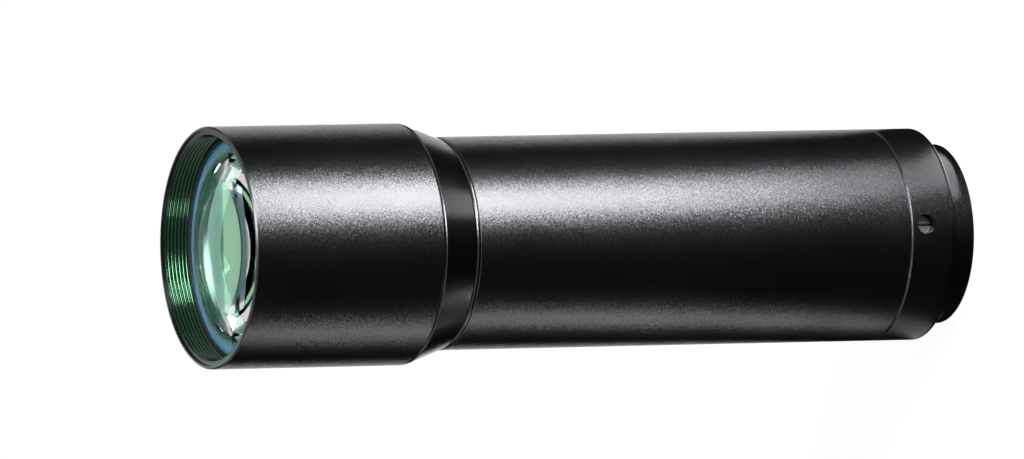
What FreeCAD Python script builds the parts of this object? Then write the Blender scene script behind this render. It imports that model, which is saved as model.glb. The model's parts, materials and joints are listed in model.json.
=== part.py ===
import FreeCAD, Part
import math
import os

# Telecentric lens, in millimetres. The optical axis is Z.
# The rear end face lies at Z 0, and the glass end points up.

# Outside, from the rear end to the front
mount_length = 4.0
rear_ring_length = 7.1
barrel_length = 66.6
taper_length = 6.45
housing_length = 28.7
mount_diameter = 25.4
flange_width = 2.3
rear_ring_diameter = mount_diameter + 2 * flange_width
barrel_diameter = rear_ring_diameter
taper_small_step = 0.05
taper_large_step = 0.05
filter_thread_diameter = 32.0
mouth_wall = 1.0
housing_diameter = filter_thread_diameter + 2 * mouth_wall
taper_small_diameter = barrel_diameter + 2 * taper_small_step
taper_large_diameter = housing_diameter - 2 * taper_large_step

# Edges and the grooves at the joints
mount_chamfer = 0.15
rear_ring_chamfer = 0.15
rear_line_from_end = 0.3
edge_chamfer = 0.1
bright_chamfer = 0.22
groove_width = 0.2
groove_depth = 0.35
land_width = 0.4
housing_front_chamfer = 0.2
face_lip_width = 0.45
face_recess_depth = 0.3

# Play at screwed joints, at glass edges and between turning parts, on the radius
thread_clearance = 0.05
glass_clearance = 0.05
running_clearance = 0.05
cement_thickness = 0.02

# Front housing inside
filter_thread_depth = 3.4
front_ring_length = 1.4
front_ring_lip_thickness = 0.4
front_ring_lip_overlap = 0.35
front_ring_runout = 0.4
objective_margin = 0.5
objective_diameter = filter_thread_diameter - 2 * objective_margin
objective_seat_width = 1.2
objective_seat_thickness = 1.5

# Objective glass
glass_bevel = 0.25
front_lens_bevel = 0.15
front_lens_dome_from_edge = 3.0
front_lens_dome_curve = 29.4
front_lens_shoulder_rise = 0.56
front_lens_thickness = 7.9
front_lens_rear_diameter = 16.9
front_lens_rear_curve = 85.0
front_lens_rear_step = 2.5
objective_spacer_length = 8.0
objective_spacer_wall = 0.8
crown_front_radius = 48.0
crown_thickness = 6.9
cement_radius = 40.0
flint_thickness = 1.7

# Light baffle behind the objective, and the tapered ring
housing_rear_wall = 1.85
taper_front_spigot_wall = 2.05
taper_rear_spigot_wall = 1.35
taper_rear_spigot_length = 4.8
taper_front_spigot_diameter = housing_diameter - 2 * housing_rear_wall
taper_front_opening = taper_front_spigot_diameter - 2 * taper_front_spigot_wall
housing_baffle_thickness = 1.2
housing_baffle_lip_width = 0.6
housing_baffle_opening = taper_front_opening - 2 * housing_baffle_lip_width

# Barrel inside
barrel_wall = 2.1
barrel_thread_wall = 1.65
taper_rear_spigot_diameter = barrel_diameter - 2 * barrel_thread_wall
taper_rear_opening = taper_rear_spigot_diameter - 2 * taper_rear_spigot_wall
barrel_thread_length = 5.2
barrel_rib_height = 1.4
barrel_rib_thickness = 1.5
barrel_rib_from_rear = 23.4

# Light baffles in the barrel, listed from the front
baffle_thickness = 1.2
baffle_lip = 0.3
first_baffle_from_front = 8.0
last_baffle_from_stop_cell = 6.5
baffle_width = (2.05, 3.05, 4.05)

# Aperture stop and its cell
stop_cell_length = 9.0
stop_cell_floor = 2.0
stop_cell_wall = 3.9
stop_disc_diameter = barrel_diameter - 2 * (barrel_wall + stop_cell_wall)
stop_disc_thickness = 0.3
stop_disc_seat_width = 4.0
stop_aperture = 4.8
stop_ring_thickness = 1.6
stop_ring_wall = 2.5
stop_cell_opening = stop_disc_diameter - 2 * stop_disc_seat_width
stop_ring_opening = stop_disc_diameter - 2 * stop_ring_wall
stop_cell_lip = 1.35

# Rear lens cell and its glass
cell_length = 16.0
cell_land_length = 3.0
cell_relief_depth = 1.2
cell_seat_thickness = 1.5
cell_seat_width = 1.4
cell_wall = 3.9
rear_glass_diameter = barrel_diameter - 2 * (barrel_wall + cell_wall)
cell_seat_opening = rear_glass_diameter - 2 * cell_seat_width
rear_flint_thickness = 1.6
rear_cement_radius = 26.0
rear_crown_thickness = 4.2
rear_crown_radius = 30.0
rear_spacer_wall = 0.6
rear_spacer_length = 2.4
field_lens_front_radius = 35.0
field_lens_thickness = 4.2
rear_retainer_margin = 0.4
rear_retainer_wall = 1.1
rear_retainer_thickness = 1.8
rear_retainer_runout = 0.4
rear_retainer_diameter = rear_glass_diameter + 2 * rear_retainer_margin
rear_retainer_opening = rear_retainer_diameter - 2 * rear_retainer_wall
lock_ring_thickness = 1.9
lock_ring_wall = 2.85

# Spanner slots in the screwed rings
spanner_slot_width = 1.2
spanner_slot_depth = 0.7
front_ring_slot_depth = 0.2

# Rear ring, mount ring and the three locking screws
sleeve_step = 0.8
sleeve_wall = 1.6
sleeve_length = 6.8
collar_seat_depth = 0.8
collar_relief = 0.4
sleeve_diameter = mount_diameter - 2 * sleeve_step
collar_relief_diameter = mount_diameter - 2 * collar_relief
mount_opening = sleeve_diameter - 2 * sleeve_wall
mount_mouth_chamfer = 0.4
rear_spigot_length = 4.8
screw_count = 3
screw_height = 8.55
screw_azimuth = -84.6
screw_diameter = 2.66
screw_hole_diameter = 2.76
screw_recess = 1.5
screw_tip_diameter = 0.8
screw_slot_width = 0.3
screw_slot_depth = 0.5
locking_groove_depth = 0.8

# Stations along the axis
flange_z = mount_length
barrel_rear_z = flange_z + rear_ring_length
barrel_front_z = barrel_rear_z + barrel_length
housing_rear_z = barrel_front_z + taper_length
front_z = housing_rear_z + housing_length
barrel_bore_radius = barrel_diameter / 2 - barrel_wall
barrel_thread_radius = taper_rear_spigot_diameter / 2 + thread_clearance
barrel_insert_radius = barrel_bore_radius - thread_clearance
rib_rear_z = barrel_rear_z + barrel_rib_from_rear
rib_front_z = rib_rear_z + barrel_rib_thickness
stop_cell_front_z = rib_front_z + stop_cell_length
last_baffle_front_z = stop_cell_front_z + last_baffle_from_stop_cell + baffle_thickness
last_baffle_from_front = barrel_front_z - last_baffle_front_z
baffle_step = (last_baffle_from_front - first_baffle_from_front) / (len(baffle_width) - 1)
cell_rear_z = rib_rear_z - cell_length


def sag(curve_radius, at_radius):
    """Depth of a spherical surface at a distance from the axis."""
    return curve_radius - math.sqrt(curve_radius ** 2 - at_radius ** 2)


# The objective stack hangs from the front retaining ring down to its seat
front_face_z = front_z - face_recess_depth
front_ring_front_z = front_face_z - filter_thread_depth
front_ring_rear_z = front_ring_front_z - front_ring_length
objective_radius = objective_diameter / 2
dome_radius = objective_radius - front_lens_dome_from_edge
rear_face_radius = front_lens_rear_diameter / 2
spacer_inner_radius = objective_radius - objective_spacer_wall
lens_land_z = front_ring_front_z - front_ring_lip_thickness
dome_edge_z = lens_land_z + front_lens_shoulder_rise
front_vertex_z = dome_edge_z + sag(front_lens_dome_curve, dome_radius)
front_lens_rear_vertex_z = front_vertex_z - front_lens_thickness
rear_face_edge_z = front_lens_rear_vertex_z + sag(front_lens_rear_curve, rear_face_radius)
spacer_front_z = rear_face_edge_z + front_lens_rear_step
spacer_rear_z = spacer_front_z - objective_spacer_length
crown_vertex_z = spacer_rear_z + sag(crown_front_radius, spacer_inner_radius)
cement_vertex_z = crown_vertex_z - crown_thickness
objective_seat_z = cement_vertex_z - flint_thickness
housing_baffle_front_z = objective_seat_z - objective_seat_thickness
housing_baffle_rear_z = housing_baffle_front_z - housing_baffle_thickness

# The rear glass is stacked rearwards from the seat at the front of its cell
cell_seat_z = rib_rear_z - cell_seat_thickness
rear_glass_radius = rear_glass_diameter / 2
rear_spacer_inner_radius = rear_glass_radius - rear_spacer_wall
rear_cement_vertex_z = cell_seat_z - rear_flint_thickness
rear_crown_vertex_z = rear_cement_vertex_z - rear_crown_thickness
rear_spacer_front_z = rear_crown_vertex_z + sag(rear_crown_radius, rear_spacer_inner_radius)
rear_spacer_rear_z = rear_spacer_front_z - rear_spacer_length
field_vertex_z = rear_spacer_rear_z + sag(field_lens_front_radius, rear_spacer_inner_radius)
field_rear_z = field_vertex_z - field_lens_thickness
rear_retainer_rear_z = field_rear_z - rear_retainer_thickness


def turned(points):
    """Solid turned about Z from a closed outline of (radius, height) points."""
    corners = [FreeCAD.Vector(radius, 0, height) for radius, height in points]
    outline = Part.makePolygon(corners + [corners[0]])
    return Part.Face(outline).revolve(FreeCAD.Vector(), FreeCAD.Vector(0, 0, 1), 360)


def surface_height(vertex, curve, radius):
    """Height of a lens surface at a radius. A positive curve is high in its middle, 0 is flat."""
    if curve == 0:
        return vertex
    return vertex - math.copysign(sag(abs(curve), radius), curve)


def surface_edge(vertex, curve, radius):
    """Outline edge of a lens surface, from the axis out to a radius."""
    middle = FreeCAD.Vector(0, 0, vertex)
    rim = FreeCAD.Vector(radius, 0, surface_height(vertex, curve, radius))
    if curve == 0:
        return Part.LineSegment(middle, rim).toShape()
    half = radius / 2
    between = FreeCAD.Vector(half, 0, surface_height(vertex, curve, half))
    return Part.Arc(middle, between, rim).toShape()


def lens(diameter, top_vertex, top_curve, bottom_vertex, bottom_curve):
    """One glass element with ground edges and a small bevel round each face."""
    edge_radius = diameter / 2
    face_radius = edge_radius - glass_bevel
    top = surface_edge(top_vertex, top_curve, face_radius)
    bottom = surface_edge(bottom_vertex, bottom_curve, face_radius)
    top_rim_z = surface_height(top_vertex, top_curve, face_radius)
    bottom_rim_z = surface_height(bottom_vertex, bottom_curve, face_radius)
    points = [
        FreeCAD.Vector(0, 0, top_vertex),
        FreeCAD.Vector(face_radius, 0, top_rim_z),
        FreeCAD.Vector(edge_radius, 0, top_rim_z - glass_bevel),
        FreeCAD.Vector(edge_radius, 0, bottom_rim_z + glass_bevel),
        FreeCAD.Vector(face_radius, 0, bottom_rim_z),
        FreeCAD.Vector(0, 0, bottom_vertex),
    ]
    bevel_top = Part.LineSegment(points[1], points[2]).toShape()
    side = Part.LineSegment(points[2], points[3]).toShape()
    bevel_bottom = Part.LineSegment(points[3], points[4]).toShape()
    axis = Part.LineSegment(points[5], points[0]).toShape()
    outline = Part.Wire([top, bevel_top, side, bevel_bottom, bottom, axis])
    return Part.Face(outline).revolve(FreeCAD.Vector(), FreeCAD.Vector(0, 0, 1), 360)


def with_spanner_slots(ring, face_z, facing, outer_diameter, depth=spanner_slot_depth):
    """Cut two opposite spanner slots into the ring face at face_z. facing is 1 up, -1 down."""
    low_z = face_z - depth if facing > 0 else face_z
    corner = FreeCAD.Vector(-outer_diameter, -spanner_slot_width / 2, low_z)
    return ring.cut(Part.makeBox(2 * outer_diameter, spanner_slot_width, depth, corner))


def make_front_housing():
    """Front shell: recessed face in a lip, filter thread, glass bore, glass seat and rear thread."""
    outer = housing_diameter / 2
    recess_radius = outer - face_lip_width
    filter_radius = filter_thread_diameter / 2
    glass_radius = objective_radius + glass_clearance
    seat_radius = objective_radius - objective_seat_width
    spigot_radius = taper_front_spigot_diameter / 2 + thread_clearance
    ring_thread_rear_z = front_ring_rear_z - front_ring_runout
    return turned([
        (outer - edge_chamfer, housing_rear_z),
        (outer, housing_rear_z + edge_chamfer),
        (outer, front_z - housing_front_chamfer),
        (outer - housing_front_chamfer, front_z),
        (recess_radius, front_z),
        (recess_radius, front_face_z),
        (filter_radius, front_face_z),
        (filter_radius, ring_thread_rear_z),
        (glass_radius, ring_thread_rear_z),
        (glass_radius, objective_seat_z),
        (seat_radius, objective_seat_z),
        (seat_radius, housing_baffle_front_z),
        (spigot_radius, housing_baffle_front_z),
        (spigot_radius, housing_rear_z),
    ])


def make_front_retaining_ring():
    """Ring screwed down the filter thread, with a thin lip that holds the shoulder of the lens."""
    outer = filter_thread_diameter / 2 - thread_clearance
    skirt = objective_radius + glass_clearance
    opening = objective_radius - front_ring_lip_overlap
    ring = turned([
        (skirt, front_ring_rear_z),
        (outer, front_ring_rear_z),
        (outer, front_ring_front_z - edge_chamfer),
        (outer - edge_chamfer, front_ring_front_z),
        (opening, front_ring_front_z),
        (opening, lens_land_z),
        (skirt, lens_land_z),
    ])
    return with_spanner_slots(ring, front_ring_front_z, 1, filter_thread_diameter, front_ring_slot_depth)


def make_objective_front_lens():
    """Domed front lens: a sloped shoulder under the ring's lip, and a raised rear face."""
    side = objective_radius
    land = side - front_lens_bevel
    opening = side - front_ring_lip_overlap
    half = dome_radius / 2
    half_rear = rear_face_radius / 2
    dome_half_z = front_vertex_z - sag(front_lens_dome_curve, half)
    rear_half_z = front_lens_rear_vertex_z + sag(front_lens_rear_curve, half_rear)
    top = FreeCAD.Vector(0, 0, front_vertex_z)
    dome_edge = FreeCAD.Vector(dome_radius, 0, dome_edge_z)
    rear_edge = FreeCAD.Vector(rear_face_radius, 0, rear_face_edge_z)
    bottom = FreeCAD.Vector(0, 0, front_lens_rear_vertex_z)
    rim = [
        dome_edge,
        FreeCAD.Vector(opening, 0, lens_land_z),
        FreeCAD.Vector(land, 0, lens_land_z),
        FreeCAD.Vector(side, 0, lens_land_z - front_lens_bevel),
        FreeCAD.Vector(side, 0, spacer_front_z + front_lens_bevel),
        FreeCAD.Vector(land, 0, spacer_front_z),
        FreeCAD.Vector(rear_face_radius, 0, spacer_front_z),
        rear_edge,
    ]
    edges = [Part.Arc(top, FreeCAD.Vector(half, 0, dome_half_z), dome_edge).toShape()]
    for start, end in zip(rim, rim[1:]):
        edges.append(Part.LineSegment(start, end).toShape())
    edges.append(Part.Arc(rear_edge, FreeCAD.Vector(half_rear, 0, rear_half_z), bottom).toShape())
    edges.append(Part.LineSegment(bottom, top).toShape())
    outline = Part.Wire(edges)
    return Part.Face(outline).revolve(FreeCAD.Vector(), FreeCAD.Vector(0, 0, 1), 360)


def make_objective_spacer():
    """Thin tube between the front lens and the doublet."""
    return turned([
        (spacer_inner_radius, spacer_rear_z),
        (objective_radius, spacer_rear_z),
        (objective_radius, spacer_front_z),
        (spacer_inner_radius, spacer_front_z),
    ])


def make_housing_baffle():
    """Ring with a sharp lip, clamped between the glass seat and the tapered ring."""
    outer = taper_front_spigot_diameter / 2
    opening = housing_baffle_opening / 2
    return turned([
        (outer, housing_baffle_rear_z),
        (outer, housing_baffle_front_z),
        (opening, housing_baffle_front_z),
        (opening, housing_baffle_front_z - baffle_lip),
        (opening + housing_baffle_thickness - baffle_lip, housing_baffle_rear_z),
    ])


def make_taper_ring():
    """Cone between housing and barrel, with a screwed spigot at each end."""
    large = taper_large_diameter / 2
    small = taper_small_diameter / 2
    front_spigot = taper_front_spigot_diameter / 2
    rear_spigot = taper_rear_spigot_diameter / 2
    cone_front_z = housing_rear_z - groove_width - bright_chamfer
    rear_groove_top_z = barrel_front_z + groove_width
    land_top_z = rear_groove_top_z + land_width
    cone_rear_z = land_top_z + groove_width
    spigot_rear_z = barrel_front_z - taper_rear_spigot_length
    return turned([
        (taper_rear_opening / 2, spigot_rear_z),
        (rear_spigot - edge_chamfer, spigot_rear_z),
        (rear_spigot, spigot_rear_z + edge_chamfer),
        (rear_spigot, barrel_front_z),
        (small - groove_depth, barrel_front_z),
        (small - groove_depth, rear_groove_top_z),
        (small, rear_groove_top_z),
        (small, land_top_z - bright_chamfer),
        (small - bright_chamfer, land_top_z),
        (small - groove_depth, land_top_z),
        (small - groove_depth, cone_rear_z),
        (small, cone_rear_z),
        (large, cone_front_z),
        (large - bright_chamfer, cone_front_z + bright_chamfer),
        (large - groove_depth, cone_front_z + bright_chamfer),
        (large - groove_depth, housing_rear_z),
        (front_spigot, housing_rear_z),
        (front_spigot, housing_baffle_rear_z),
        (taper_front_opening / 2, housing_baffle_rear_z),
        (taper_front_opening / 2, housing_rear_z),
        (taper_rear_opening / 2, barrel_front_z),
    ])


def make_main_barrel():
    """Long tube, threaded inside at both ends, with a rib that seats both cells."""
    outer = barrel_diameter / 2
    rib_radius = barrel_bore_radius - barrel_rib_height
    rear_thread_z = barrel_rear_z + barrel_thread_length
    front_thread_z = barrel_front_z - barrel_thread_length
    return turned([
        (barrel_thread_radius, barrel_rear_z),
        (outer - edge_chamfer, barrel_rear_z),
        (outer, barrel_rear_z + edge_chamfer),
        (outer, barrel_front_z - edge_chamfer),
        (outer - edge_chamfer, barrel_front_z),
        (barrel_thread_radius, barrel_front_z),
        (barrel_thread_radius, front_thread_z),
        (barrel_bore_radius, front_thread_z),
        (barrel_bore_radius, rib_front_z),
        (rib_radius, rib_front_z),
        (rib_radius, rib_rear_z),
        (barrel_bore_radius, rib_rear_z),
        (barrel_bore_radius, rear_thread_z),
        (barrel_thread_radius, rear_thread_z),
    ])


def make_barrel_baffle(distance, width):
    """Screwed ring with a sharp lip, at a distance behind the front of the barrel."""
    front = barrel_front_z - distance
    rear = front - baffle_thickness
    opening = barrel_insert_radius - width
    return turned([
        (barrel_insert_radius, rear),
        (barrel_insert_radius, front),
        (opening, front),
        (opening, front - baffle_lip),
        (opening + baffle_thickness - baffle_lip, rear),
    ])


def make_stop_cell():
    """Cup that seats on the front of the rib and carries the aperture stop."""
    floor_z = rib_front_z + stop_cell_floor
    hood_z = floor_z + stop_disc_thickness + stop_ring_thickness
    pocket = stop_disc_diameter / 2 + thread_clearance
    return turned([
        (stop_cell_opening / 2, rib_front_z),
        (barrel_insert_radius, rib_front_z),
        (barrel_insert_radius, stop_cell_front_z),
        (barrel_insert_radius - stop_cell_lip, stop_cell_front_z),
        (pocket, hood_z),
        (pocket, floor_z),
        (stop_cell_opening / 2, floor_z),
    ])


def make_aperture_stop():
    """Thin disc with the precise hole that makes the lens telecentric."""
    rear = rib_front_z + stop_cell_floor
    front = rear + stop_disc_thickness
    return turned([
        (stop_aperture / 2, rear),
        (stop_disc_diameter / 2, rear),
        (stop_disc_diameter / 2, front),
        (stop_aperture / 2 + stop_disc_thickness, front),
    ])


def make_stop_retaining_ring():
    """Screwed ring that holds the stop disc on the floor of its cell."""
    rear = rib_front_z + stop_cell_floor + stop_disc_thickness
    front = rear + stop_ring_thickness
    ring = turned([
        (stop_ring_opening / 2, rear),
        (stop_disc_diameter / 2, rear),
        (stop_disc_diameter / 2, front),
        (stop_ring_opening / 2, front),
    ])
    return with_spanner_slots(ring, front, 1, stop_disc_diameter)


def make_rear_lens_cell():
    """Cell with a land at each end, a seat for the glass and a thread for its ring."""
    glass_radius = rear_glass_radius + glass_clearance
    ring_radius = rear_retainer_diameter / 2 + thread_clearance
    ring_thread_front_z = field_rear_z + rear_retainer_runout
    relief = barrel_insert_radius - cell_relief_depth
    rear_land_z = cell_rear_z + cell_land_length
    front_land_z = rib_rear_z - cell_land_length
    return turned([
        (ring_radius, cell_rear_z),
        (barrel_insert_radius, cell_rear_z),
        (barrel_insert_radius, rear_land_z),
        (relief, rear_land_z),
        (relief, front_land_z),
        (barrel_insert_radius, front_land_z),
        (barrel_insert_radius, rib_rear_z),
        (cell_seat_opening / 2, rib_rear_z),
        (cell_seat_opening / 2, cell_seat_z),
        (glass_radius, cell_seat_z),
        (glass_radius, ring_thread_front_z),
        (ring_radius, ring_thread_front_z),
    ])


def make_rear_spacer():
    """Thin tube between the rear doublet and the field lens."""
    return turned([
        (rear_spacer_inner_radius, rear_spacer_rear_z),
        (rear_glass_radius, rear_spacer_rear_z),
        (rear_glass_radius, rear_spacer_front_z),
        (rear_spacer_inner_radius, rear_spacer_front_z),
    ])


def make_rear_retaining_ring():
    """Screwed ring that holds the rear glass in its cell."""
    ring = turned([
        (rear_retainer_opening / 2, rear_retainer_rear_z),
        (rear_retainer_diameter / 2, rear_retainer_rear_z),
        (rear_retainer_diameter / 2, field_rear_z),
        (rear_retainer_opening / 2, field_rear_z),
    ])
    return with_spanner_slots(ring, rear_retainer_rear_z, -1, rear_retainer_diameter)


def make_cell_lock_ring():
    """Screwed ring behind the rear lens cell."""
    rear = cell_rear_z - lock_ring_thickness
    opening = barrel_insert_radius - lock_ring_wall
    ring = turned([
        (opening, rear),
        (barrel_insert_radius, rear),
        (barrel_insert_radius, cell_rear_z),
        (opening, cell_rear_z),
    ])
    return with_spanner_slots(ring, rear, -1, barrel_diameter)


def screw_directions():
    """Unit vectors from the axis towards the locking screws."""
    directions = []
    for index in range(screw_count):
        angle = math.radians(screw_azimuth + index * 360 / screw_count)
        directions.append(FreeCAD.Vector(math.cos(angle), math.sin(angle), 0))
    return directions


def make_rear_ring():
    """Flange ring on the end of the barrel, with a radial hole for each locking screw."""
    outer = rear_ring_diameter / 2
    bore = sleeve_diameter / 2 + running_clearance
    collar_bore = mount_diameter / 2 + running_clearance
    collar_seat_z = flange_z + collar_seat_depth
    groove = outer - groove_depth
    line_rear_z = flange_z + rear_line_from_end
    line_front_z = line_rear_z + groove_width
    shoulder_z = barrel_rear_z - groove_width
    ring = turned([
        (bore, collar_seat_z),
        (collar_bore, collar_seat_z),
        (collar_bore, flange_z),
        (outer - rear_ring_chamfer, flange_z),
        (outer, flange_z + rear_ring_chamfer),
        (outer, line_rear_z),
        (groove, line_rear_z),
        (groove, line_front_z),
        (outer, line_front_z),
        (outer, shoulder_z - bright_chamfer),
        (outer - bright_chamfer, shoulder_z),
        (groove, shoulder_z),
        (groove, barrel_rear_z),
        (barrel_thread_radius - thread_clearance, barrel_rear_z),
        (barrel_thread_radius - thread_clearance, barrel_rear_z + rear_spigot_length),
        (bore, barrel_rear_z + rear_spigot_length),
    ])
    on_axis = FreeCAD.Vector(0, 0, screw_height)
    for direction in screw_directions():
        hole = Part.makeCylinder(screw_hole_diameter / 2, rear_ring_diameter, on_axis, direction)
        ring = ring.cut(hole)
    return ring


def make_mount_ring():
    """Camera-side ring: a plain collar, and a sleeve with the groove that the screws bite."""
    collar = mount_diameter / 2
    sleeve = sleeve_diameter / 2
    bore = mount_opening / 2
    collar_seat_z = flange_z + collar_seat_depth
    sleeve_front_z = flange_z + sleeve_length
    return turned([
        (bore + mount_mouth_chamfer, 0),
        (collar - mount_chamfer, 0),
        (collar, mount_chamfer),
        (collar, flange_z),
        (collar_relief_diameter / 2, flange_z),
        (collar_relief_diameter / 2, collar_seat_z),
        (sleeve, collar_seat_z),
        (sleeve, screw_height - locking_groove_depth),
        (sleeve - locking_groove_depth, screw_height),
        (sleeve, screw_height + locking_groove_depth),
        (sleeve, sleeve_front_z),
        (bore, sleeve_front_z),
        (bore, mount_mouth_chamfer),
    ])


def make_set_screw(direction):
    """Slotted locking screw with a cone point, seated in the groove of the sleeve."""
    body = screw_diameter / 2
    tip = screw_tip_diameter / 2
    groove_bottom = sleeve_diameter / 2 - locking_groove_depth
    tip_at = groove_bottom + tip + running_clearance
    head_at = rear_ring_diameter / 2 - screw_recess
    cone_end = tip_at + body - tip
    screw = turned([(0, tip_at), (tip, tip_at), (body, cone_end), (body, head_at), (0, head_at)])
    corner = FreeCAD.Vector(-body, -screw_slot_width / 2, head_at - screw_slot_depth)
    screw = screw.cut(Part.makeBox(2 * body, screw_slot_width, screw_slot_depth, corner))
    axial_x = FreeCAD.Vector(0, 0, -1)
    side_y = direction.cross(axial_x)
    turn = FreeCAD.Matrix(
        axial_x.x, side_y.x, direction.x, 0,
        axial_x.y, side_y.y, direction.y, 0,
        axial_x.z, side_y.z, direction.z, screw_height,
        0, 0, 0, 1,
    )
    screw.Placement = FreeCAD.Placement(turn)
    return screw


def make_set_screws():
    """The three locking screws, as one group of separate solids."""
    return Part.makeCompound([make_set_screw(direction) for direction in screw_directions()])


nodes = {
    "front_housing": make_front_housing(),
    "front_retaining_ring": make_front_retaining_ring(),
    "objective_front_lens": make_objective_front_lens(),
    "objective_spacer": make_objective_spacer(),
    "objective_crown_lens": lens(
        objective_diameter,
        crown_vertex_z,
        crown_front_radius,
        cement_vertex_z + cement_thickness,
        -cement_radius,
    ),
    "objective_flint_lens": lens(
        objective_diameter,
        cement_vertex_z,
        -cement_radius,
        objective_seat_z,
        0,
    ),
    "housing_baffle": make_housing_baffle(),
    "taper_ring": make_taper_ring(),
    "main_barrel": make_main_barrel(),
    "stop_cell": make_stop_cell(),
    "aperture_stop": make_aperture_stop(),
    "stop_retaining_ring": make_stop_retaining_ring(),
    "rear_lens_cell": make_rear_lens_cell(),
    "rear_flint_lens": lens(
        rear_glass_diameter,
        cell_seat_z,
        0,
        rear_cement_vertex_z + cement_thickness,
        rear_cement_radius,
    ),
    "rear_crown_lens": lens(
        rear_glass_diameter,
        rear_cement_vertex_z,
        rear_cement_radius,
        rear_crown_vertex_z,
        -rear_crown_radius,
    ),
    "rear_spacer": make_rear_spacer(),
    "rear_field_lens": lens(
        rear_glass_diameter,
        field_vertex_z,
        field_lens_front_radius,
        field_rear_z,
        0,
    ),
    "rear_retaining_ring": make_rear_retaining_ring(),
    "cell_lock_ring": make_cell_lock_ring(),
    "rear_ring": make_rear_ring(),
    "mount_ring": make_mount_ring(),
    "set_screws": make_set_screws(),
}
for number, width in enumerate(baffle_width, start=1):
    distance = first_baffle_from_front + (number - 1) * baffle_step
    nodes[f"barrel_baffle_{number}"] = make_barrel_baffle(distance, width)

os.makedirs("parts", exist_ok=True)
for name, shape in nodes.items():
    shape.exportStep(f"parts/{name}.step")
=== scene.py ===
import bpy
import json
import math
import numpy as np
from mathutils import Matrix, Vector


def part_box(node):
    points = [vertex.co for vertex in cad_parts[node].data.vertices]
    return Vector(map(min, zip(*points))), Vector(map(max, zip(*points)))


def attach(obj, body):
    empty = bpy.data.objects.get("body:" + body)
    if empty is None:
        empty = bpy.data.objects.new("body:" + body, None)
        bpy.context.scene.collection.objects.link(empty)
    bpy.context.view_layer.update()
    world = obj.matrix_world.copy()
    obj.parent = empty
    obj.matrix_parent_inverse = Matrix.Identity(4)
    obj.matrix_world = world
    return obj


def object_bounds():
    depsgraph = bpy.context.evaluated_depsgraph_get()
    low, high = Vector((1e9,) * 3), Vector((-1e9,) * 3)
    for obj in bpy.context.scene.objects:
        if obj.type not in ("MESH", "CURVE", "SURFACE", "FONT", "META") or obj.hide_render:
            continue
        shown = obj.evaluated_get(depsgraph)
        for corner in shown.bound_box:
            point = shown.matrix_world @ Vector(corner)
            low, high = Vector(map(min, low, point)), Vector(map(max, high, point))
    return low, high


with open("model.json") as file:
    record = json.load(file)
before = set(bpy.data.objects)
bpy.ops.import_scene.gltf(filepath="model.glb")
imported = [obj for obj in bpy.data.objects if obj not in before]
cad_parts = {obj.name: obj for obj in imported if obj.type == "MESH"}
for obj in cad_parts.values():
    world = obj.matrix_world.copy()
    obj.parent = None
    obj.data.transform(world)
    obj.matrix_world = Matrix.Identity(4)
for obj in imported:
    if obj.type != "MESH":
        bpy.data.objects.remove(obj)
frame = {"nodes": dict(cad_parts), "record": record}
nodes = frame["nodes"]
cad_low, cad_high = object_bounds()

MM = 0.001

# The photo's frame, and where the two ends of the optical axis lie in it, in pixels
IMAGE_WIDTH = 1024
IMAGE_HEIGHT = 459
FRONT_PIXEL = (208.1, 247.9)
REAR_PIXEL = (935.7, 233.6)

# The camera: how far the front end is turned towards it, its lens and sensor in millimetres, and
# the range that it sees in metres
VIEW_TILT = math.radians(24.5)
FOCAL_LENGTH = 750.0
SENSOR_WIDTH = 36.0
CLIP_START = 0.1
CLIP_END = 20.0

# Heights of the front end and of the ring in the mouth, from the frame
front_z = cad_high.z
ring_face_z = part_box("front_retaining_ring")[1].z

# Filter thread inside the mouth, behind the recessed front face. Its start is a share of a turn,
# and its skin is how far behind the root the wall that closes it lies.
FACE_RECESS = 0.3 * MM
THREAD_ROOT = 16.0 * MM
THREAD_CREST = 15.74 * MM
THREAD_PITCH = 0.55 * MM
THREAD_START = 0.714
THREAD_SKIN = 0.02 * MM
THREAD_COLUMNS = 480
THREAD_ROWS_PER_TURN = 16

# Colour of the outside. The photo's black comes from it, its greys from the mirrored lights.
DEEP_BLACK = (0.0003, 0.0003, 0.00035)

# Wear of the anodising: patches per metre, their detail, and how far they move the roughness
WEAR_SCALE = 120.0
WEAR_DETAIL = 4.0
WEAR_REACH = 0.04

# Depths behind the front end where the blasted finish ends and the turned front face starts, and
# the sparkle left on that face
BLASTED_DEPTH = 0.5 * MM
TURNED_DEPTH = 0.45 * MM
TURNED_SPARKLE = 0.02

# Radii between which the coating of the front lens changes, on the sloped shoulder round its dome.
# The blue on that shoulder is a painted reflection.
COATING_INSIDE = 13.0 * MM
COATING_OUTSIDE = 15.1 * MM
COATING_INDEX = 2.2

# Tint of all the glass behind the front lens
INNER_GLASS_TINT = (0.9, 1.0, 0.95)

# White floor: half its width, its paint, and the share of plain white that the eye sees in it
FLOOR_REACH = 3.0
FLOOR_PAINT = (0.85, 0.85, 0.85)
FLOOR_WHITE_SHARE = 0.93

# Light of the surroundings on matt surfaces. The eye sees them as plain white.
WHITE = (1, 1, 1)
SURROUNDINGS = (0.4, 0.4, 0.4)

# Flat pieces of each curved card, and the height of a light that lies on the floor
CARD_STEPS = 40
PANEL_HEIGHT = 1.0 * MM

# Strips on one side of the lens, from the tallest to the smallest: the end of the name, the
# distance from the axis and the height. The tallest also stands behind the lens.
TALL_STRIP_DISTANCE = 0.125
TALL_STRIP_HEIGHT = 0.075
STRIP_ROW = (
    ("", TALL_STRIP_DISTANCE, TALL_STRIP_HEIGHT),
    ("_middle", 0.085, 0.025),
    ("_rear", 0.052, 0.0165),
    ("_end", 0.034, 0.008),
)

# Bounces that the light needs to pass all the glass and to be mirrored inside it
MAX_BOUNCES = 16
GLOSSY_BOUNCES = 12
TRANSMISSION_BOUNCES = 16


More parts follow.
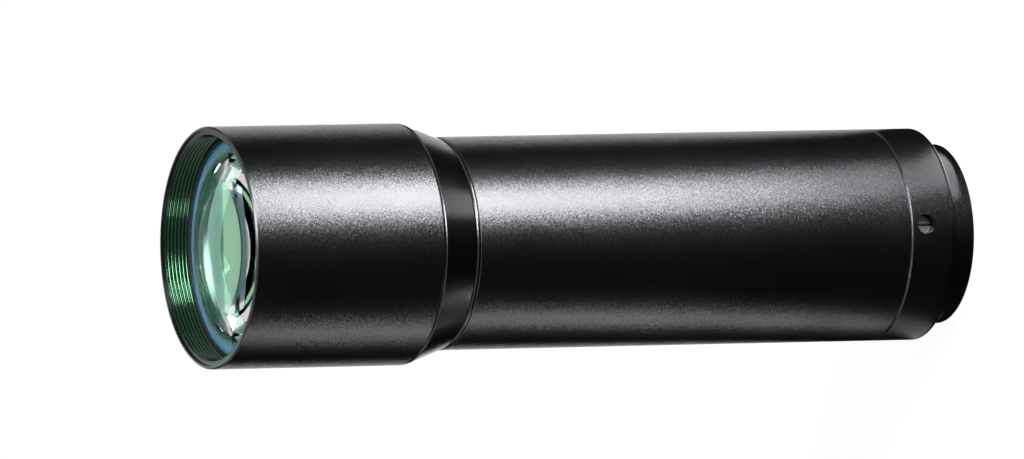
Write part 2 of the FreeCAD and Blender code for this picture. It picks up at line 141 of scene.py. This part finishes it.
def make_camera():
    """Long lens on the -Y side, with +X up in the image, framed on the axis's two ends."""
    across = math.atan2(FRONT_PIXEL[1] - REAR_PIXEL[1], REAR_PIXEL[0] - FRONT_PIXEL[0])
    back = Vector((0, -math.cos(VIEW_TILT), math.sin(VIEW_TILT)))
    level_right = Vector((0, -math.sin(VIEW_TILT), -math.cos(VIEW_TILT)))
    level_up = Vector((1, 0, 0))
    right = level_right * math.cos(across) - level_up * math.sin(across)
    up = level_right * math.sin(across) + level_up * math.cos(across)
    pixels = FOCAL_LENGTH / SENSOR_WIDTH * IMAGE_WIDTH
    front = Vector((0, 0, front_z))
    front_x = FRONT_PIXEL[0] - IMAGE_WIDTH / 2
    rear_x = REAR_PIXEL[0] - IMAGE_WIDTH / 2
    rear_y = IMAGE_HEIGHT / 2 - REAR_PIXEL[1]
    # The camera lies at right * along_right + up * along_up + back * distance. The two ends'
    # places across the image fix along_right and distance, and the rear end's height fixes
    # along_up.
    terms = np.array([[pixels, front_x], [pixels, rear_x]])
    known = np.array([pixels * front.dot(right) + front_x * front.dot(back), 0.0])
    along_right, distance = np.linalg.solve(terms, known)
    along_up = -rear_y * distance / pixels
    data = bpy.data.cameras.new("camera")
    data.lens = FOCAL_LENGTH
    data.sensor_width = SENSOR_WIDTH
    data.clip_start = CLIP_START
    data.clip_end = CLIP_END
    camera = bpy.data.objects.new("camera", data)
    bpy.context.scene.collection.objects.link(camera)
    axes = Matrix((right, up, back)).transposed().to_4x4()
    place = right * along_right + up * along_up + back * distance
    camera.matrix_world = Matrix.Translation(place) @ axes
    bpy.context.scene.camera = camera


def new_object(name, vertices, faces, smooth=True):
    """A mesh object in the scene."""
    mesh = bpy.data.meshes.new(name)
    mesh.from_pydata(vertices, [], faces)
    mesh.validate()
    mesh.polygons.foreach_set("use_smooth", [smooth] * len(mesh.polygons))
    piece = bpy.data.objects.new(name, mesh)
    bpy.context.scene.collection.objects.link(piece)
    return piece


def ring_of_points(radius, height):
    """Points round the axis at one radius and height."""
    points = []
    for column in range(THREAD_COLUMNS):
        angle = 2 * math.pi * column / THREAD_COLUMNS
        points.append((radius * math.cos(angle), radius * math.sin(angle), height))
    return points


def make_filter_thread():
    """Helical ridges on the wall of the mouth, closed by a wall that is hidden in the housing."""
    around = THREAD_COLUMNS
    top_z = front_z - FACE_RECESS
    depth = top_z - ring_face_z
    rows = int(depth / THREAD_PITCH * THREAD_ROWS_PER_TURN)
    vertices = []
    for row in range(rows + 1):
        down = depth * row / rows
        for column in range(around):
            angle = 2 * math.pi * column / around
            phase = (down / THREAD_PITCH - column / around + THREAD_START) % 1.0
            rise = abs(math.sin(math.pi * phase))
            radius = THREAD_ROOT - (THREAD_ROOT - THREAD_CREST) * rise
            vertices.append((radius * math.cos(angle), radius * math.sin(angle), top_z - down))
    back_start = len(vertices)
    vertices += ring_of_points(THREAD_ROOT + THREAD_SKIN, top_z)
    vertices += ring_of_points(THREAD_ROOT + THREAD_SKIN, top_z - depth)
    faces = []
    for row in range(rows):
        for column in range(around):
            after = (column + 1) % around
            a, b = row * around + column, row * around + after
            faces.append((a, b, b + around, a + around))
    last = rows * around
    for column in range(around):
        after = (column + 1) % around
        top_a, top_b = back_start + column, back_start + after
        low_a, low_b = top_a + around, top_b + around
        faces.append((top_a, top_b, after, column))
        faces.append((last + column, last + after, low_b, low_a))
        faces.append((low_a, low_b, top_b, top_a))
    thread = new_object("filter_thread", vertices, faces)
    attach(thread, "root")
    return thread


class NodeGraph:
    """One material's node tree, and short ways to build it."""

    def __init__(self, name):
        self.material = bpy.data.materials.new(name)
        self.material.use_nodes = True
        self.tree = self.material.node_tree
        self.tree.nodes.clear()
        self.output = self.add("ShaderNodeOutputMaterial")

    def add(self, kind, values=None, **settings):
        """A node, with values on its own sockets by name or number, and with settings."""
        node = self.tree.nodes.new(kind)
        for key, value in settings.items():
            setattr(node, key, value)
        for key, value in (values or {}).items():
            node.inputs[key].default_value = value
        return node

    def link(self, start, end):
        self.tree.links.new(start, end)

    def change(self, start, end, source, target, **settings):
        """Link two sockets through a node that turns the source range into the target range."""
        limits = {
            "From Min": source[0],
            "From Max": source[1],
            "To Min": target[0],
            "To Max": target[1],
        }
        node = self.add("ShaderNodeMapRange", limits, **settings)
        self.link(start, node.inputs["Value"])
        self.link(node.outputs["Result"], end)

    def finish(self, shader):
        """The material, with the shader's first output on its surface."""
        self.link(shader.outputs[0], self.output.inputs["Surface"])
        return self.material


def anodised(name, base, roughness, specular, cell, sparkle, tint=WHITE):
    """Black anodised aluminium. Each small cell of its blasted finish tilts its own way."""
    graph = NodeGraph(name)
    looks = {"Base Color": (*base, 1), "Specular IOR Level": specular, "Specular Tint": (*tint, 1)}
    shader = graph.add("ShaderNodeBsdfPrincipled", looks)
    place = graph.add("ShaderNodeTexCoord")
    # The tilt is a random direction for each cell. Its size falls off at the turned front face.
    cells = graph.add("ShaderNodeTexVoronoi", {"Scale": 1 / cell})
    graph.link(place.outputs["Object"], cells.inputs["Vector"])
    centred = graph.add("ShaderNodeVectorMath", {1: (0.5, 0.5, 0.5)}, operation="SUBTRACT")
    graph.link(cells.outputs["Color"], centred.inputs[0])
    tilt = graph.add("ShaderNodeVectorMath", operation="SCALE")
    graph.link(centred.outputs[0], tilt.inputs[0])
    height = graph.add("ShaderNodeSeparateXYZ")
    graph.link(place.outputs["Object"], height.inputs[0])
    face_edge = (front_z - BLASTED_DEPTH, front_z - TURNED_DEPTH)
    graph.change(height.outputs["Z"], tilt.inputs["Scale"], face_edge, (sparkle, TURNED_SPARKLE))
    plain = graph.add("ShaderNodeNewGeometry")
    tilted = graph.add("ShaderNodeVectorMath", operation="ADD")
    graph.link(plain.outputs["Normal"], tilted.inputs[0])
    graph.link(tilt.outputs[0], tilted.inputs[1])
    unit = graph.add("ShaderNodeVectorMath", operation="NORMALIZE")
    graph.link(tilted.outputs[0], unit.inputs[0])
    graph.link(unit.outputs[0], shader.inputs["Normal"])
    wear = graph.add("ShaderNodeTexNoise", {"Scale": WEAR_SCALE, "Detail": WEAR_DETAIL})
    graph.link(place.outputs["Object"], wear.inputs["Vector"])
    worn = (roughness - WEAR_REACH, roughness + WEAR_REACH)
    graph.change(wear.outputs["Fac"], shader.inputs["Roughness"], (0, 1), worn)
    return graph.finish(shader)


def glass(name, tint, index):
    """Polished glass, the same all over."""
    graph = NodeGraph(name)
    looks = {"Base Color": (*tint, 1), "IOR": index, "Roughness": 0, "Transmission Weight": 1}
    return graph.finish(graph.add("ShaderNodeBsdfPrincipled", looks))


def coated_glass_painted_reflection(name, index, tints, film, roughness, clear):
    """Glass whose looks go from an inner value to an outer one. The film is in nanometres."""
    graph = NodeGraph(name)
    looks = {"IOR": index, "Thin Film IOR": COATING_INDEX}
    shader = graph.add("ShaderNodeBsdfPrincipled", looks)
    place = graph.add("ShaderNodeTexCoord")
    level = graph.add("ShaderNodeVectorMath", {1: (1, 1, 0)}, operation="MULTIPLY")
    graph.link(place.outputs["Object"], level.inputs[0])
    radius = graph.add("ShaderNodeVectorMath", operation="LENGTH")
    graph.link(level.outputs[0], radius.inputs[0])
    # The ramp's outer tint is a painted reflection.
    colour = graph.add("ShaderNodeValToRGB")
    for element, tint in zip(colour.color_ramp.elements, tints):
        element.color = (*tint, 1)
    graph.link(colour.outputs["Color"], shader.inputs["Base Color"])
    changes = (
        (colour.inputs["Fac"], (0, 1)),
        (shader.inputs["Thin Film Thickness"], film),
        (shader.inputs["Roughness"], roughness),
        (shader.inputs["Transmission Weight"], clear),
    )
    for socket, inner_and_outer in changes:
        source = (COATING_INSIDE, COATING_OUTSIDE)
        graph.change(radius.outputs["Value"], socket, source, inner_and_outer)
    return graph.finish(shader)


def dress(node, material):
    """Give a node of the CAD model one material all over."""
    mesh = nodes[node].data
    mesh.materials.clear()
    mesh.materials.append(material)
    mesh.polygons.foreach_set("material_index", [0] * len(mesh.polygons))


def seen_by_eye(tree):
    """Socket that is 1 for camera, mirror and glass rays, and 0 for all others."""
    path = tree.nodes.new("ShaderNodeLightPath")
    seen = path.outputs["Is Camera Ray"]
    for kind in ("Is Glossy Ray", "Is Transmission Ray"):
        either = tree.nodes.new("ShaderNodeMath")
        either.operation = "MAXIMUM"
        tree.links.new(seen, either.inputs[0])
        tree.links.new(path.outputs[kind], either.inputs[1])
        seen = either.outputs[0]
    return seen


def make_floor():
    """White floor that keeps a faint shadow. The eye sees it as nearly plain white."""
    reach = FLOOR_REACH
    corners = [(-reach, -reach, 0), (reach, -reach, 0), (reach, reach, 0), (-reach, reach, 0)]
    floor = new_object("floor", corners, [(0, 1, 2, 3)], smooth=False)
    graph = NodeGraph("floor_white")
    paint = graph.add("ShaderNodeBsdfDiffuse", {"Color": (*FLOOR_PAINT, 1)})
    glow = graph.add("ShaderNodeEmission", {"Color": (*WHITE, 1)})
    share = graph.add("ShaderNodeMath", {1: FLOOR_WHITE_SHARE}, operation="MULTIPLY")
    graph.link(seen_by_eye(graph.tree), share.inputs[0])
    mix = graph.add("ShaderNodeMixShader")
    graph.link(share.outputs[0], mix.inputs[0])
    graph.link(paint.outputs[0], mix.inputs[1])
    graph.link(glow.outputs[0], mix.inputs[2])
    floor.data.materials.append(graph.finish(mix))


def make_world():
    """White surroundings for the eye, and a dimmer light on matt surfaces."""
    world = bpy.data.worlds.new("studio")
    bpy.context.scene.world = world
    world.use_nodes = True
    tree = world.node_tree
    tree.nodes.clear()
    output = tree.nodes.new("ShaderNodeOutputWorld")
    mix = tree.nodes.new("ShaderNodeMixShader")
    tree.links.new(seen_by_eye(tree), mix.inputs[0])
    for place, colour in ((2, WHITE), (1, SURROUNDINGS)):
        background = tree.nodes.new("ShaderNodeBackground")
        background.inputs["Color"].default_value = (*colour, 1)
        tree.links.new(background.outputs[0], mix.inputs[place])
    tree.links.new(mix.outputs[0], output.inputs["Surface"])


def around_axis(angle, distance, height):
    """A point at an angle round the axis: 0 is the camera's side, 90 the image's lower side."""
    turn = math.radians(angle)
    return Vector((-math.sin(turn) * distance, -math.cos(turn) * distance, height))


def put_card(card, material):
    """Finish a card of the studio so that it is seen in mirror reflections alone."""
    card.data.materials.append(material)
    card.visible_camera = False
    card.visible_diffuse = False
    card.visible_shadow = False
    card.visible_transmission = False


def arc_card(name, start, end, low_edge, high_edge, colour=(0, 0, 0)):
    """Card between two arcs round the axis, each given as (distance, height). Its colour glows."""
    vertices = []
    for step in range(CARD_STEPS + 1):
        angle = start + (end - start) * step / CARD_STEPS
        vertices.append(around_axis(angle, *low_edge))
        vertices.append(around_axis(angle, *high_edge))
    faces = [(2 * step, 2 * step + 1, 2 * step + 3, 2 * step + 2) for step in range(CARD_STEPS)]
    card = new_object(name, vertices, faces, smooth=False)
    graph = NodeGraph(name)
    put_card(card, graph.finish(graph.add("ShaderNodeEmission", {"Color": (*colour, 1)})))
    return card


def glow_card(name, angle, distance, height, reach, colour, strength):
    """Round soft light that the front lens mirrors, bright in its middle and gone at its edge."""
    middle = around_axis(angle, distance, height)
    aim = (Vector((0, 0, ring_face_z)) - middle).normalized()
    side = aim.cross(Vector((0, 0, 1))).normalized() * reach
    rise = side.cross(aim)
    corners = [-side - rise, side - rise, side + rise, rise - side]
    card = new_object(name, [tuple(corner) for corner in corners], [(0, 1, 2, 3)], smooth=False)
    card.location = middle
    graph = NodeGraph(name)
    place = graph.add("ShaderNodeTexCoord")
    radius = graph.add("ShaderNodeVectorMath", operation="LENGTH")
    graph.link(place.outputs["Object"], radius.inputs[0])
    light = graph.add("ShaderNodeEmission", {"Color": (*colour, 1)})
    graph.change(
        radius.outputs["Value"], light.inputs["Strength"], (0, reach), (strength, 0),
        interpolation_type="SMOOTHERSTEP",
    )
    clear = graph.add("ShaderNodeBsdfTransparent")
    both = graph.add("ShaderNodeAddShader")
    graph.link(clear.outputs[0], both.inputs[0])
    graph.link(light.outputs[0], both.inputs[1])
    put_card(card, graph.finish(both))


def area_light(name, width, tall, radiance):
    """Rectangular light that the camera doesn't see. Its power follows from its radiance."""
    data = bpy.data.lights.new(name, "AREA")
    data.shape = "RECTANGLE"
    data.size = width
    data.size_y = tall
    data.energy = radiance * math.pi * width * tall
    light = bpy.data.objects.new(name, data)
    bpy.context.scene.collection.objects.link(light)
    light.visible_camera = False
    return light


def lamp(name, angle, distance, height, aim_height, width, tall, radiance):
    """Soft box that faces a point on the axis."""
    light = area_light(name, width, tall, radiance)
    light.location = around_axis(angle, distance, height)
    aim = Vector((0, 0, aim_height)) - light.location
    light.rotation_mode = "QUATERNION"
    light.rotation_quaternion = aim.to_track_quat("-Z", "Y")


def strip(name, angle, distance, tall, spread, radiance):
    """Soft box on the floor that faces the axis. Spread is its width over its distance."""
    lamp(name, angle, distance, tall / 2, tall / 2, spread * distance, tall, radiance)


def strip_row(name, spread, looks):
    """The strips of one side, each with its own angle and radiance."""
    for (ending, distance, tall), (angle, radiance) in zip(STRIP_ROW, looks):
        strip(name + ending, angle, distance, tall, spread, radiance)


def floor_panel(name, angle, near, far, width, lean, radiance):
    """Flat light on the floor beside the lens that faces up, leaning outwards by an angle."""
    light = area_light(name, width, far - near, radiance)
    outwards = around_axis(angle, 1, 0)
    side = Vector((0, 0, 1)).cross(outwards)
    tip = math.radians(lean)
    facing = outwards * math.sin(tip) + Vector((0, 0, math.cos(tip)))
    along = side.cross(facing)
    axes = Matrix((side, -along, -facing)).transposed().to_4x4()
    place = around_axis(angle, (near + far) / 2, PANEL_HEIGHT)
    light.matrix_world = Matrix.Translation(place) @ axes


# Materials of the part
body_black = anodised(
    "body_black", DEEP_BLACK, roughness=0.29, specular=0.45, cell=0.1 * MM, sparkle=0.17,
    tint=(0.93, 0.95, 1.0),
)
smooth_black = anodised(
    "smooth_black", DEEP_BLACK, roughness=0.2, specular=0.45, cell=0.1 * MM, sparkle=0.05,
)
inner_black = anodised(
    "inner_black", (0.003, 0.003, 0.003), roughness=0.5, specular=0.4, cell=0.12 * MM,
    sparkle=0.05,
)
# The green specular tint and faint green base of the thread are a painted reflection of the coated
# glass. The anodising itself is black.
thread_black_painted_green_reflection = anodised(
    "thread_black_painted_green_reflection", (0, 0.001, 0.0005), roughness=0.16, specular=0.6, cell=0.1 * MM,
    sparkle=0.02, tint=(0.4, 1.0, 0.55),
)
screw_steel = anodised(
    "screw_steel", (0.03, 0.03, 0.032), roughness=0.35, specular=0.5, cell=0.1 * MM,
    sparkle=0.05,
)
# The blue outer tint, with the glass made partly matt there, is a painted reflection on the
# shoulder. The film is the real coating.
front_glass = coated_glass_painted_reflection(
    "front_glass", index=1.79, tints=((0.85, 1.0, 0.93), (0.04, 0.5, 0.85)), film=(315, 275),
    roughness=(0, 0.2), clear=(1, 0.7),
)
clear_glass = glass("clear_glass", INNER_GLASS_TINT, index=1.6)
heavy_glass = glass("heavy_glass", INNER_GLASS_TINT, index=1.62)

material_of_slot = {
    "anodised_body": body_black,
    "anodised_smooth": smooth_black,
    "matt_inner": inner_black,
    "stop_steel": inner_black,
    "screw_steel": screw_steel,
    "front_glass": front_glass,
    "crown_glass": clear_glass,
    "flint_glass": heavy_glass,
    "rear_glass": heavy_glass,
}
for item in frame["record"]["subparts"]:
    dress(item["node"], material_of_slot[item["material_slot"]])

thread = make_filter_thread()
thread.data.materials.append(thread_black_painted_green_reflection)

make_camera()
make_floor()
make_world()

# Cards round the lens. Angles go round the axis, and edges are (distance, height).
arc_card("floor_card", start=-130, end=150, low_edge=(0.0125, 0.0001), high_edge=(0.26, 0.0001))
arc_card("wall_card", start=-130, end=150, low_edge=(0.26, 0.0), high_edge=(0.26, 0.16))
arc_card("back_low", start=110, end=250, low_edge=(0.3, 0.118), high_edge=(0.3, 0.19))
arc_card("back_high", start=130, end=230, low_edge=(0.3, 0.31), high_edge=(0.1, 0.4))

# A green card that shows only through the glass
back_green = arc_card(
    "back_green", start=110, end=250, low_edge=(0.3, 0.118), high_edge=(0.1, 0.35),
    colour=(0.4, 0.75, 0.5),
)
back_green.visible_glossy = False
back_green.visible_transmission = True

glow_card(
    "lens_glow", angle=175, distance=0.2, height=0.158, reach=0.036, colour=(0.75, 1.0, 0.8),
    strength=5.0,
)

# Key side: the broad highlight on the upper half of the body. Looks are (angle, radiance).
strip_row("key_strip", spread=0.6, looks=((-42, 30.0), (-46, 12.5), (-50, 5.6), (-50, 4.0)))
floor_panel("key_foot", angle=-50, near=0.013, far=0.028, width=0.012, lean=0, radiance=4.2)

# Behind the lens: the upper rim
strip("back_strip", 184, TALL_STRIP_DISTANCE, TALL_STRIP_HEIGHT, spread=0.35, radiance=6.0)

# Fill side: the narrow highlight along the lower edge, and the one on the taper
strip_row("fill_strip", spread=0.33, looks=((86, 3.7), (90, 2.4), (92, 1.9), (92, 1.3)))
floor_panel("fill_foot", angle=92, near=0.013, far=0.028, width=0.01, lean=0, radiance=0.6)
floor_panel("cone_foot", angle=86, near=0.035, far=0.075, width=0.03, lean=40, radiance=14.0)

# Lamps above the lens, the last two for the thread in its mouth
lamp(
    "key_top", angle=-40, distance=0.22, height=0.56, aim_height=0.08, width=0.16, tall=0.16,
    radiance=40.0,
)
lamp(
    "thread_side", angle=46, distance=0.42, height=0.4, aim_height=0.11, width=0.12, tall=0.12,
    radiance=28.0,
)
lamp(
    "thread_top", angle=-49, distance=0.42, height=0.4, aim_height=0.11, width=0.16, tall=0.16,
    radiance=60.0,
)

bpy.context.scene.view_settings.view_transform = "Standard"
bpy.context.scene.cycles.max_bounces = MAX_BOUNCES
bpy.context.scene.cycles.glossy_bounces = GLOSSY_BOUNCES
bpy.context.scene.cycles.transmission_bounces = TRANSMISSION_BOUNCES
